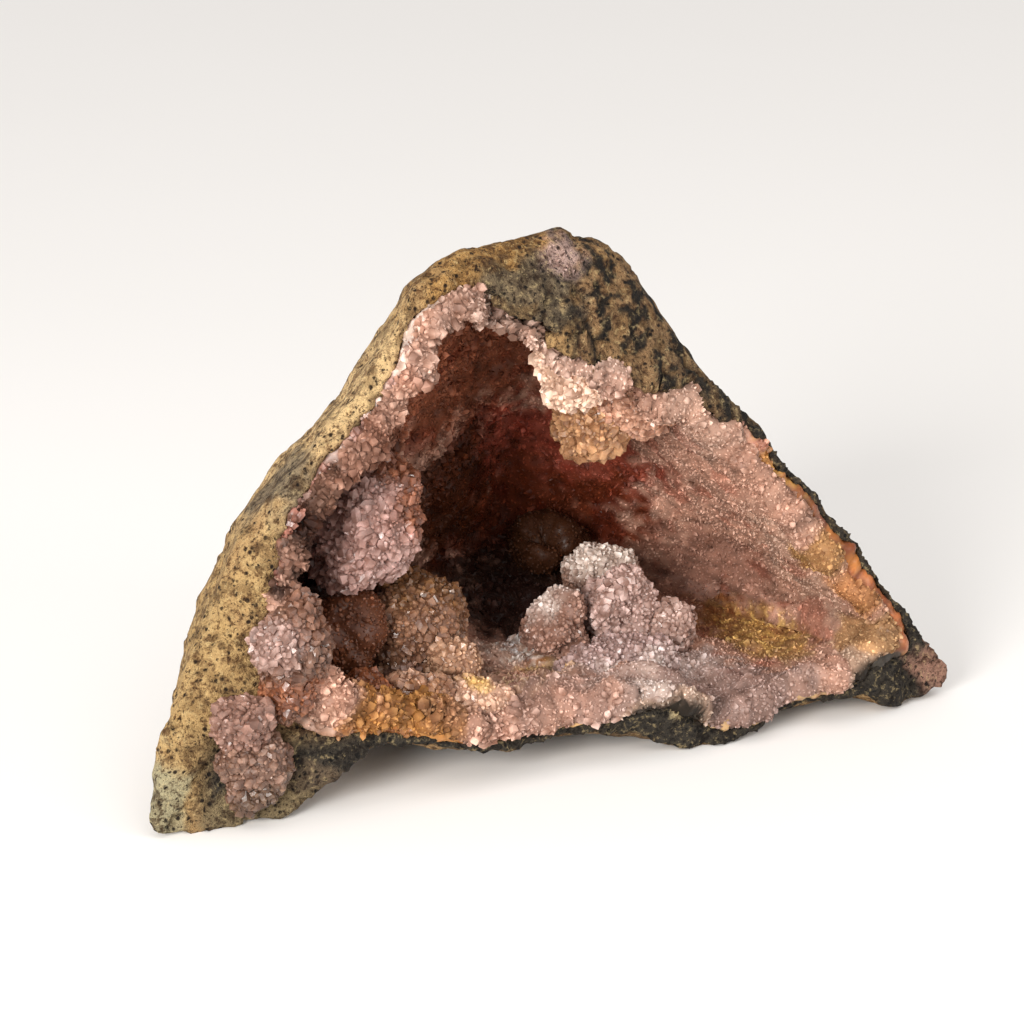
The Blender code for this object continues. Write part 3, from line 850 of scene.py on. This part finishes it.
lumps = {  # knob: (spread, height) of the lump's own knobs; size: smallest and largest crystal
    "crystal_club_upper_left": dict(
        slot="lilac_crystals", ground="A8847A", knob=(6.5, 2.4), size=(1.2, 2.4),
        stainsAndShade=[
            ((-34, -16, 73), (10, 18, 15), "804C30", 0.9),
            ((-52, -6, 58), (9, 14, 22), "5E4038", 0.8),
            ((-40, -22, 52), (9, 12, 7), "BC9C94", 0.6),
        ],
    ),
    "crystal_mound_left": dict(
        slot="lilac_crystals", ground="8A644C", knob=(6.5, 2.2), size=(1.1, 2.1),
        stainsAndShade=[
            ((-24, -10, 40), (14, 16, 9), "74502E", 0.8),
            ((-30, -22, 20), (12, 12, 8), "7A6664", 0.7),
        ],
    ),
    "smooth_quartz_knob": dict(
        slot="smoky_quartz", ground="70432B", knob=(8, 1.6), size=(0.7, 1.1),
    ),
    "rim_crystals_left": dict(
        slot="lilac_crystals", ground="745443", knob=(5, 2.2), size=(1.0, 2.2),
        stainsAndShade=[
            ((-80, -48, 45), (6, 8, 6), "A6887E", 0.8),
            ((-71, -44, 52), (7, 8, 10), "74503E", 0.85),
            ((-76, -48, 34), (8, 8, 5), "A0603C", 0.6),
        ],
    ),
    "foot_crystals_upper": dict(
        slot="lilac_crystals", ground="8E6C5E", knob=(4.5, 1.8), size=(1.2, 2.3),
    ),
    "foot_crystals_lower": dict(
        slot="lilac_crystals", ground="7E6050", knob=(4.5, 1.8), size=(1.2, 2.2),
        stainsAndShade=[
            ((-82, -50, 9), (8, 6, 5), "5A4432", 0.8),
        ],
    ),
    "pale_knob_left": dict(
        slot="pale_crystals", ground="AC8569", knob=(5, 1.8), size=(1.1, 2.0),
    ),
    "ochre_tipped_knob": dict(
        slot="pale_crystals", ground="D8B096", knob=(4, 1.6), size=(0.9, 1.7),
        stainsAndShade=[
            ((-23, -40, 24), (6, 8, 3), "DCB46A", 0.85),
        ],
    ),
    "front_cluster_center": dict(
        slot="pale_crystals", ground="9A745C", knob=(4.5, 2.0), size=(1.1, 2.1),
        stainsAndShade=[
            ((-40, -40, 16), (9, 9, 6), "96622E", 0.85),
        ],
    ),
    "front_cluster_left": dict(
        slot="pale_crystals", ground="7E4A2C", knob=(4.5, 1.8), size=(1.1, 2.0),
        stainsAndShade=[
            ((-52, -40, 21), (8, 9, 5), "6A3416", 0.8),
        ],
    ),
    "pale_cluster_right": dict(
        slot="pale_crystals", ground="BEA096", knob=(5, 1.9), size=(1.1, 2.1),
    ),
    "pale_cluster_far_right": dict(
        slot="pale_crystals", ground="B89A8E", knob=(4.5, 1.8), size=(1.1, 2.0),
    ),
    "frosted_arch": dict(
        slot="pale_crystals", ground="8E6E5E", knob=(5, 1.8), size=(1.0, 1.9),
        stainsAndShade=[
            ((30, 2, 36), (13, 10, 6), "D8C8BC", 0.95),
        ],
    ),
    "frosted_ridge": dict(
        slot="lilac_crystals", ground="A07C6C", knob=(6, 2.6), size=(0.8, 1.6),
        stainsAndShade=[
            ((14, -8, 30), (9, 8, 7), "DCCCC2", 0.85),
        ],
    ),
    "floor_ledge": dict(
        slot="lilac_crystals", ground="AA908A", knob=(6, 1.8), size=(0.9, 1.7),
        stainsAndShade=[
            ((26, -36, 13), (18, 7, 6), "DACCC4", 0.85),
        ],
    ),
    "back_mound": dict(
        slot="smoky_quartz", ground="4A2C1A", knob=(4.2, 2.6), size=(0.5, 0.9),
    ),
    "ceiling_cluster_upper": dict(
        slot="pale_crystals", ground="F0CDB4", knob=(5, 2.2), size=(1.3, 2.5),
    ),
    "ceiling_cluster_lower": dict(
        slot="pale_crystals", ground="B28660", knob=(5, 2.2), size=(1.2, 2.3),
    ),
    "ceiling_cluster_right": dict(
        slot="pale_crystals", ground="C0937A", knob=(5, 2.0), size=(1.2, 2.3),
    ),
}
lumpNet = dict(grid=0.9, warp=2.4, crystals=dict(family="prisms", spacing=0.95, lean=1.1))


def makeLump(node, seed, slot, ground, knob, size, stainsAndShade=()):
    piece = stoneCopy(node + "_crystals", node, lumpNet["grid"])
    p, n = pointsOf(piece)
    spread, height = knob
    broad, middle = (spread * 1.5, seed, height * 1.9), (spread * 0.7, seed + 1, height * 0.7)
    lift = knobs(p, [broad, middle, (spread * 0.35, seed + 9, 0.5)]) - height * 1.1
    warp = np.stack([soft(p, 9, seed + 5 + k) for k in range(3)], 1) * lumpNet["warp"]
    movePoints(piece, p + n * lift[:, None] + warp)
    keepColour(piece, "paint", paintStainsAndShade(p, ground, stainsAndShade))
    # tip 0.3 gives the bare lump between the crystals much of the painted shade of the crystal feet
    keepLevels(piece, tip=0.3, shade=0.5, grow=1.0)
    keepValue(piece, "size", 1.0 + 0.35 * soft(p, 6, seed + 2))
    mat = {"back_mound": wallDruse, "smooth_quartz_knob": quartz}.get(node, druse)
    size = (size[0] * 0.9, size[1] * 1.5)
    grow(piece, growthWithBase, mat, size=size, seed=seed, **lumpNet["crystals"])
    dress(piece, mat, slot, node)


for seed, (node, settings) in enumerate(lumps.items(), 20):
    makeLump(node, seed, **settings)
for family in kinds.values():
    for shape in list(family.objects):
        bpy.data.objects.remove(shape)
    bpy.data.collections.remove(family)
print("crystal lumps grown")


studio = dict(floorTone="F6F4F2", cloudTone="E6E3DF", floorSize=8.0, ambient=0.5, airTone=(1.0, 0.98, 0.96))


def makeStudio(s):
    mat, tree, shader = finish("paper floor")
    cloud = grainOf(tree, 300, 2, 0.5).outputs["Fac"]
    base = tuple(tone(s["floorTone"]))
    col = blendOf(tree, span(tree, cloud, 0.3, 0.7, (0.0, 0.05)), base, tuple(tone(s["cloudTone"])))
    tree.links.new(col, shader.inputs["Base Color"])
    shader.inputs["Roughness"].default_value = 0.9
    half = s["floorSize"] / 2
    mesh = bpy.data.meshes.new("floor")
    corners = [(-half, -half, 0), (half, -half, 0), (half, half, 0), (-half, half, 0)]
    mesh.from_pydata(corners, [], [(0, 1, 2, 3)])
    floor = bpy.data.objects.new("floor", mesh)
    floor.data.materials.append(mat)
    bpy.context.scene.collection.objects.link(floor)
    world = bpy.data.worlds.new("studio")
    world.use_nodes = True
    air = world.node_tree.nodes["Background"]
    air.inputs["Color"].default_value = (*s["airTone"], 1)
    air.inputs["Strength"].default_value = s["ambient"]
    bpy.context.scene.world = world


lamps = {
    "key": dict(kind="AREA", place=(-1.1, -0.85, 0.5), power=23, width=0.6, colour=(1.0, 0.98, 0.95)),
    "fill": dict(kind="AREA", place=(0.75, -1.0, 0.4), power=4, width=0.7, colour=(1.0, 0.97, 0.94)),
    "sky": dict(kind="SUN", place=(-0.2, -0.5, 1.2), power=1.1, width=1.2, colour=(1.0, 0.98, 0.96)),
}


lampTarget = Vector((0, -0.03, 0.05))


def makeLamp(name, kind, place, power, width, colour):
    light = bpy.data.lights.new(name, kind)
    if kind == "AREA":
        light.shape = "DISK"
        light.size = width
    else:
        light.angle = width
    light.energy = power
    light.color = colour
    lamp = bpy.data.objects.new(name, light)
    lamp.location = place
    lamp.rotation_euler = (lampTarget - Vector(place)).to_track_quat("-Z", "Y").to_euler()
    bpy.context.scene.collection.objects.link(lamp)


view = dict(target=(-0.00566, -0.02201, 0.060), turn=-26, rise=18, distance=0.85, lens=119.5)


def makeCamera(s):
    data = bpy.data.cameras.new("camera")
    data.lens = s["lens"]
    data.sensor_width = 36
    data.clip_start = 0.05
    camera = bpy.data.objects.new("camera", data)
    a, e = math.radians(s["turn"]), math.radians(s["rise"])
    target = Vector(s["target"])
    way = Vector((math.sin(a) * math.cos(e), -math.cos(a) * math.cos(e), math.sin(e)))
    camera.location = target + s["distance"] * way
    camera.rotation_euler = (target - camera.location).to_track_quat("-Z", "Y").to_euler()
    bpy.context.scene.collection.objects.link(camera)
    bpy.context.scene.camera = camera


makeStudio(studio)
for name, settings in lamps.items():
    makeLamp(name, **settings)
makeCamera(view)
bpy.context.scene.view_settings.view_transform = "Standard"
print("studio set")
